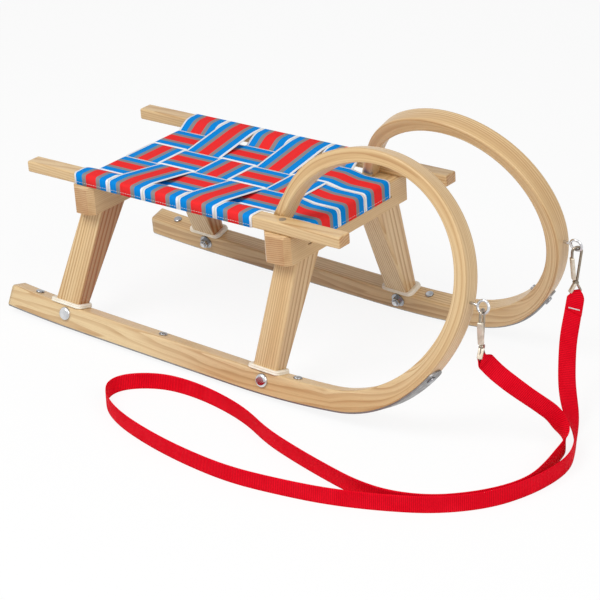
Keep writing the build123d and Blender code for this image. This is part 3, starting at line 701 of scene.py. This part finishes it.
# Seat webbing: each band is a line of (run, level) corners, rounded by its eases
CLOTH_GAP, RAIL_CLEAR = 0.0006, 0.0003
CROSS_CLOTH, LENGTH_CLOTH = CROSS_PITCH - CLOTH_GAP, LENGTH_PITCH - CLOTH_GAP
STEP_HALF, STEP_EASE, CROSS_END = 0.0025, 0.0024, 0.0008
RAIL_OUTER_EASE, RAIL_INNER_EASE = 0.0042, 0.0080
SLOT_EASE, REAR_EASE, FOOT_EASE, FRONT_EASE = 0.0012, 0.0078, 0.0040, 0.0070
half_step = (WEBBING + WEB_GAP) / 2
over_rail = RAIL_DEPTH + WEBBING / 2
over_side = RAIL_OUTER + WEBBING / 2
over_beam = WEBBING / 2
front_face = BEAM_FRONT + WEBBING / 2
rear_face = BEAM_REAR - BEAM_REAR_DEPTH - WEBBING / 2
columns = (np.arange(LENGTH_COUNT) - (LENGTH_COUNT - 1) / 2) * LENGTH_PITCH + LENGTH_SHIFT
rows = CROSS_FIRST + np.arange(CROSS_COUNT) * CROSS_PITCH + CROSS_WIDTH / 2


def weave_corners(middles, pitch, over):
    """Two corners for each crossing, either side of its middle: half a step above the weave's level
    where the band lies over, and half a step below it elsewhere."""
    reach = pitch / 2 - STEP_HALF
    levels = WEAVE_LEVEL + half_step * np.where(over, 1, -1)
    runs = (middles[:, None] + np.array([-reach, reach])).ravel()
    return np.column_stack([runs, np.repeat(levels, 2)])


def seat_band(kind, rank, cloth, line, path, ahead, wide):
    """Band of seat webbing, cloth metres wide: its profile carried along a path, which is the plane
    line laid on the seat; ahead and wide are the seat directions of its run and its width."""
    out = side_normals(line)
    normal = out[:, :1] * ahead + out[:, 1:] * SEAT_UP
    strap = band(f"{kind}_band_{rank}", path, np.broadcast_to(wide, path.shape), normal,
                 band_profile(cloth, WEBBING), SEAT_CLOTH, [f"{kind}_strap_{rank}"])


for row in range(CROSS_COUNT):
    over = (row + np.arange(LENGTH_COUNT)) % 2 == 1
    weave = weave_corners(columns, LENGTH_PITCH, over)
    # Over the outer columns the strap runs straight from the rail to where it dives
    weave = np.delete(weave, [0, -1], axis=0) if over[0] else weave
    edge = RAIL_INNER + RAIL_CLEAR
    corners = np.vstack([
        [(-over_side, CROSS_END), (-over_side, over_rail), (-edge, over_rail)], weave,
        [(edge, over_rail), (over_side, over_rail), (over_side, CROSS_END)]])
    eases = [RAIL_OUTER_EASE, RAIL_INNER_EASE, *[STEP_EASE] * len(weave), RAIL_INNER_EASE,
             RAIL_OUTER_EASE]
    line = rounded_path(corners, eases)
    seat_band("cross", row + 1, CROSS_CLOTH, line, on_seat(rows[row], line[:, 0], line[:, 1]),
              LEFTWARD, -SEAT_ALONG)

for column in range(LENGTH_COUNT):
    weave = weave_corners(rows, CROSS_PITCH, (np.arange(CROSS_COUNT) + column) % 2 == 0)
    corners = np.vstack([
        [(rear_face + TUCK, -SLOT_DROP), (rear_face, -SLOT_DROP), (rear_face, over_beam)], weave,
        [(FOOT_MIDDLE + BEAM_EDGE, over_beam), (front_face, over_beam), (front_face, -SLOT_DROP),
         (front_face - TUCK, -SLOT_DROP)]])
    eases = [SLOT_EASE, REAR_EASE, *[STEP_EASE] * len(weave), FOOT_EASE, FRONT_EASE, SLOT_EASE]
    line = rounded_path(corners, eases)
    seat_band("length", column + 1, LENGTH_CLOTH, line,
              on_seat(line[:, 0], columns[column], line[:, 1]), SEAT_ALONG, LEFTWARD)

# Hem stitches on the outer faces of the rails and on the two crossbeams
HEM_RISE, HEM_LIFT, HEM_EACH_SIDE = 0.0040, 0.0001, 6
STITCH_PITCH, STITCH_LENGTH, STITCH_RADIUS = 0.0045, 0.0034, 0.0003
per_row = np.arange(-HEM_EACH_SIDE, HEM_EACH_SIDE + 1) * STITCH_PITCH
row_spots = (rows[:, None] + per_row).ravel()
for side, sign in SIDES:
    spots = on_seat(row_spots, -sign * (RAIL_OUTER + WEBBING + HEM_LIFT), CROSS_END + HEM_RISE)
    stitch_row(f"hem_stitches_{side}", spots, SEAT_ALONG, SEAT_UP, STITCH_LENGTH, STITCH_RADIUS)
column_spots = (columns[:, None] + per_row[1:-1]).ravel()
for end, face in (("front", BEAM_FRONT + WEBBING + HEM_LIFT),
                  ("rear", BEAM_REAR - BEAM_REAR_DEPTH - WEBBING - HEM_LIFT)):
    spots = on_seat(face, column_spots, -SLOT_DROP + HEM_RISE)
    stitch_row(f"hem_stitches_{end}", spots, LEFTWARD, SEAT_UP, STITCH_LENGTH, STITCH_RADIUS)

# Bent runners
ROCKER_STEPS, FLAT_STEPS, BEND_STEPS, FOOT_STEPS = 24, 24, 30, 6
CORNER_STEPS, SIDE_STEPS = 5, 6
SQUARE_CORNER = 0.0004
# Stations from the rear to the sole's tip, which is two bends past the flat
SOLE_STATIONS = ROCKER_STEPS + FLAT_STEPS + 2 * BEND_STEPS


def edge_chain(rear, level, flat_end, bends, foot, radius):
    """One edge of the runner in its leaning plane, as (along, rise) rows: rocker arc, flat, chain
    of tangent arcs and straight foot."""
    turn = np.linspace(asin((ROCKER_START - rear) / radius), 0, ROCKER_STEPS, endpoint=False)
    flat = np.linspace(ROCKER_START, flat_end, FLAT_STEPS, endpoint=False)
    parts = [np.column_stack([ROCKER_START - radius * np.sin(turn),
                              level + radius * (1 - np.cos(turn))]),
             np.column_stack([flat, np.full(len(flat), level)])]
    spot, angle = np.array([flat_end, level]), 0.0
    for bend, sweep in bends:
        angles = angle + np.linspace(0, radians(sweep), BEND_STEPS + 1)
        swing = np.column_stack([np.sin(angles) - sin(angle), cos(angle) - np.cos(angles)])
        arc = spot + bend * HORN_RADIUS * swing
        parts.append(arc[:-1])
        spot, angle = arc[-1], angles[-1]
    ahead = np.linspace(0, foot, FOOT_STEPS)[:, None]
    parts.append(spot + ahead * np.array([cos(angle), sin(angle)]))
    return np.vstack(parts)


def runner_sections(depth):
    """Rounded rectangle at each station, as rows of rise and of width in metres: four quarter
    circles with straight sides between. The lower corners are square up to the sole's tip and round
    beyond it."""
    station = np.arange(len(depth))
    low = np.where(station < SOLE_STATIONS, SQUARE_CORNER, RUNNER_ROUND)[:, None]
    quarter = np.linspace(0, pi / 2, CORNER_STEPS)[None, :]
    side = np.linspace(0, 1, SIDE_STEPS + 2)[1:-1][None, :]
    half, high, top = RUNNER_WIDTH / 2, depth[:, None], RUNNER_ROUND
    start, end = 1 - np.cos(quarter), 1 - np.sin(quarter)
    corner_rise = [low * start, high - top * end, high - top * start, low * end]
    corner_wide = [half - low * end, half - top * start, -half + top * end, -half + low * start]
    sections = []
    for corners in (corner_rise, corner_wide):
        corners = [np.broadcast_to(corner, (len(depth), CORNER_STEPS)) for corner in corners]
        runs = []
        for corner, after in zip(corners, corners[1:] + corners[:1]):
            runs += [corner, corner[:, -1:] + (after[:, :1] - corner[:, -1:]) * side]
        sections.append(np.hstack(runs))
    return sections


def cutter(name, low, high):
    """Box in seat directions between two corners (along, across, level), as a tool for the horn's
    foot."""
    pick = np.array([[(i >> axis) & 1 for axis in range(3)] for i in range(8)])
    corner = np.where(pick, np.array(high), np.array(low))
    points = on_seat(corner[:, 0], corner[:, 1], corner[:, 2])
    faces = [(0, 2, 3, 1), (4, 5, 7, 6), (0, 1, 5, 4), (2, 6, 7, 3), (0, 4, 6, 2), (1, 3, 7, 5)]
    mesh = bpy.data.meshes.new(name)
    mesh.from_pydata(points.tolist(), [], faces)
    tool = bpy.data.objects.new(name, mesh)
    bpy.context.scene.collection.objects.link(tool)
    return tool


def cut_away(piece, tools):
    """Takes the tools out of a piece's mesh, then removes them."""
    for tool in tools:
        step = piece.modifiers.new(tool.name, "BOOLEAN")
        step.operation, step.solver, step.object = "DIFFERENCE", "EXACT", tool
    whole = piece.evaluated_get(bpy.context.evaluated_depsgraph_get())
    shape = bpy.data.meshes.new_from_object(whole)
    piece.modifiers.clear()
    piece.data = shape
    for tool in tools:
        bpy.data.objects.remove(tool)


FOOT_HALF = 1.5 * BEAM_FRONT_DEPTH
FOOT_BACK, FOOT_AHEAD = FOOT_MIDDLE - FOOT_HALF, FOOT_MIDDLE + FOOT_HALF
FOOT_DOWN = -2 * BEAM_HEIGHT
# The tools overlap one another by this much, so that no two of their faces lie in one plane
CUT_LAP = 0.001
low_edge = edge_chain(REAR_LOW, SOLE_THICK, FLAT_LOW, LOW_BENDS, FOOT_LOW, ROCKER_RADIUS)
top_edge = edge_chain(REAR_TOP, SOLE_THICK + RUNNER_DEPTH, FLAT_TOP, TOP_BENDS, FOOT_TOP,
                      ROCKER_RADIUS - RUNNER_DEPTH)
rise, wide = runner_sections(np.linalg.norm(top_edge - low_edge, axis=1))
flat = low_edge[:, None, :] + rise[..., None] * unit(top_edge - low_edge)[:, None, :]
station_along = run_length((low_edge + top_edge) / 2)
runner_grain = np.stack(np.broadcast_arrays(station_along[:, None], rise), -1)
runner_maps = {"grain": runner_grain.reshape(-1, 2),
               "width": np.stack([wide, np.zeros_like(wide)], -1).reshape(-1, 2)}
for side, sign in SIDES:
    points = on_lean(flat[..., 0], flat[..., 1], RUNNER_WIDTH / 2 - wide, sign)
    bent_ash = ash_bent(f"ash_runner_{side}", (0.3 * sign, 0.01, 0.02 * sign), RUNNER_TONES_AND_SHADE[side])
    piece = mesh_piece(f"runner_bent_{side}", points.reshape(-1, 3), tube_faces(*rise.shape),
                       runner_maps, bent_ash, [f"runner_{side}"])
    near, far = sorted((-RAIL_OUTER * sign, -RAIL_INNER * sign))
    beam_low, beam_high = sorted((-(RAIL_INNER + RAIL_INNER / 2) * sign, -RAIL_INNER / 2 * sign))
    cut_away(piece, [
        cutter("beam_seat", (FOOT_BACK, beam_low, FOOT_DOWN), (FOOT_AHEAD, beam_high, 0.0)),
        cutter("rail_seat", (FOOT_BACK - CUT_LAP, near, -CUT_LAP),
               (FOOT_AHEAD + CUT_LAP, far, RAIL_DEPTH)),
        cutter("web_seat", (FOOT_BACK - 2 * CUT_LAP, -WEBBING_HALF, -2 * CUT_LAP),
               (FOOT_AHEAD + 2 * CUT_LAP, WEBBING_HALF, WEAVE_LEVEL + 2 * WEBBING))])

# Rubber collars: outline of two lips as (inset, rise) rows, which runs in under the leg at both
# ends
COLLAR_OUTLINE = np.array([
    (0.0110, 0.0002), (0.0012, 0.0002), (0.0004, 0.0007), (0.0000, 0.0016), (0.0004, 0.0025),
    (0.0012, 0.0029), (0.0013, 0.0033), (0.0008, 0.0038), (0.0006, 0.0045), (0.0010, 0.0053),
    (0.0019, 0.0059), (0.0030, 0.0060), (0.0110, 0.0060)])
COLLAR_LEAST_ROUND, COLLAR_MOST_INSET, COLLAR_STEPS = 0.002, 0.007, 9


def collar_ring(end, side, sign):
    """Rounded rectangle round a leg's foot, shrunk and lifted by each row of the closed outline."""
    back, front = LEG_FEET[end]
    inset, lift = COLLAR_OUTLINE.T
    round_off = np.maximum(COLLAR_ROUND - inset, COLLAR_LEAST_ROUND)
    quarter = np.linspace(0, pi / 2, COLLAR_STEPS)[None, :]
    turn = (np.arange(4)[:, None] * pi / 2 + quarter).ravel()
    corner = np.repeat([(1, 1), (-1, 1), (-1, -1), (1, -1)], COLLAR_STEPS, axis=0)
    half_along = ((front - back) / 2 + COLLAR_REACH - inset - round_off)[None, :]
    half_wide = (COLLAR_WIDTH / 2 - np.minimum(inset, COLLAR_MOST_INSET) - round_off)[None, :]
    along = corner[:, :1] * half_along + np.cos(turn)[:, None] * round_off
    wide = corner[:, 1:] * half_wide + np.sin(turn)[:, None] * round_off
    points = on_lean((back + front) / 2 + along, SOLE_THICK + RUNNER_DEPTH + lift[None, :],
                     RUNNER_WIDTH / 2 - wide, sign)
    rings, rows_round = along.shape
    ring, row = np.meshgrid(np.arange(rings), np.arange(rows_round), indexing="ij")
    after, beyond = (row + 1) % rows_round, (ring + 1) % rings
    faces = np.stack([ring * rows_round + row, ring * rows_round + after,
                      beyond * rows_round + after, beyond * rows_round + row], -1).reshape(-1, 4)
    return mesh_piece(f"foot_collar_{end}_{side}", points.reshape(-1, 3), faces.tolist(), {},
                      RUBBER, [f"collar_{end}_{side}"])


for end in LEG_FEET:
    for side, sign in SIDES:
        collar_ring(end, side, sign)

# Finishes of the solids
RAIL_ASH = dict(turn=(pi / 2, 0, 0), across_rings=60, depth_rings=245, tone=0.6, lines=1.1,
                darker_faces_axis=0, grain_and_shade_depth=1.0)
BEAM_ASH = dict(turn=(0, 0, -pi / 2), across_rings=320, depth_rings=45, tone=0.2, lines=1.0,
                darker_faces_axis=1, grain_and_shade_depth=1.25)
LEG_ASH = dict(depth_rings=115, tone=0.0, lines=1.6, darker_faces_axis=0)
# Place in the wood, splay and rake of the grain in radians, rings across, depth of the painted shade
# on the faces along X, deepest on the rear legs under the seat
LEG_GRAIN = {"front": (0.5, 0.316, 0.035, 250, 0.3), "rear": (0.8, 0.337, 0.098, 190, 2.1)}
boards = {"rail_right": dict(RAIL_ASH, place=(0.1, 0.3, 0.0)),
          "rail_left": dict(RAIL_ASH, place=(0.7, 0.1, 0.2)),
          "beam_front": dict(BEAM_ASH, place=(0.2, 0.4, 0.1)),
          "beam_rear": dict(BEAM_ASH, place=(0.9, 0.2, 0.3))}
for end, (place, splay, rake, rings, grain_and_shade_depth) in LEG_GRAIN.items():
    for side, sign in SIDES:
        boards[f"leg_{end}_{side}"] = dict(
            LEG_ASH, turn=(splay * sign, pi / 2 - rake, 0), place=(0.3 * sign, place, 0.1),
            across_rings=rings, grain_and_shade_depth=grain_and_shade_depth)
METALS = {"bolt": BRIGHT_STEEL, "nut": GREY_STEEL, "rivets": GREY_STEEL, "rail_screw": DULL_STEEL,
          "sole": SOLE_STEEL, "eye": BRIGHT_STEEL, "hook": NICKEL}
finishes = {node: ash_board(f"ash_{node}", **choices) for node, choices in boards.items()}
finishes.update({node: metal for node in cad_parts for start, metal in METALS.items()
                 if node.startswith(start)})
for node, finish in finishes.items():
    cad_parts[node].data.materials.clear()
    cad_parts[node].data.materials.append(finish)

# Floor, light and background
FLOOR_HALF, FLOOR_WHITE, FLOOR_SEEN = 30.0, 0.97, 0.88
ROOM_LIGHT = 0.35
LAMP_AIM = np.array([0, 0, 0.1])
# Name, place, width and power of each lamp
LAMPS = (("key", (-0.5, -1.75, 2.55), 1.6, 52.0), ("fill", (2.4, -0.6, 1.8), 1.8, 27.0))


def sight(start):
    """1 for rays from the camera, from gloss or through glass."""
    path = start.node("ShaderNodeLightPath")
    seen, gloss, through = (Wire(start.tree, path.socket.node.outputs[name]) for name in (
        "Is Camera Ray", "Is Glossy Ray", "Is Transmission Ray"))
    return seen.larger(gloss).larger(through)


def floor_paint():
    """White floor that keeps the shadow: part diffuse, and part white for rays that see it."""
    material = bpy.data.materials.new("pale_floor")
    material.use_nodes = True
    tree = material.node_tree
    tree.nodes.clear()
    start = Wire(tree)
    seen = sight(start) * FLOOR_SEEN
    diffuse = start.node("ShaderNodeBsdfDiffuse", None, {"Color": (*[FLOOR_WHITE] * 3, 1)})
    glow = start.node("ShaderNodeEmission", None, {"Color": (1, 1, 1, 1), "Strength": 1.0})
    mixed = start.node("ShaderNodeMixShader", None, {0: seen, 1: diffuse, 2: glow})
    start.node("ShaderNodeOutputMaterial", None, {"Surface": mixed}, None)
    return material


ground = bpy.data.meshes.new("floor")
ground.from_pydata([(-FLOOR_HALF, -FLOOR_HALF, 0), (FLOOR_HALF, -FLOOR_HALF, 0),
                    (FLOOR_HALF, FLOOR_HALF, 0), (-FLOOR_HALF, FLOOR_HALF, 0)], [], [(0, 1, 2, 3)])
floor = bpy.data.objects.new("floor", ground)
bpy.context.scene.collection.objects.link(floor)
ground.materials.append(floor_paint())

world = bpy.data.worlds.new("studio")
bpy.context.scene.world = world
world.use_nodes = True
backdrop = world.node_tree.nodes["Background"]
backdrop.inputs["Color"].default_value = (1, 1, 1, 1)
room = sight(Wire(world.node_tree)) * (1 - ROOM_LIGHT) + ROOM_LIGHT
world.node_tree.links.new(room.socket, backdrop.inputs["Strength"])

for name, place, width, power in LAMPS:
    lamp = bpy.data.lights.new(name, "AREA")
    lamp.size, lamp.energy = width, power
    light = bpy.data.objects.new(name, lamp)
    bpy.context.scene.collection.objects.link(light)
    light.location = place
    x, y, z = np.array(place) - LAMP_AIM
    light.rotation_euler = (atan2(np.hypot(x, y), z), 0, atan2(x, -y))
bpy.context.scene.view_settings.view_transform = "Standard"
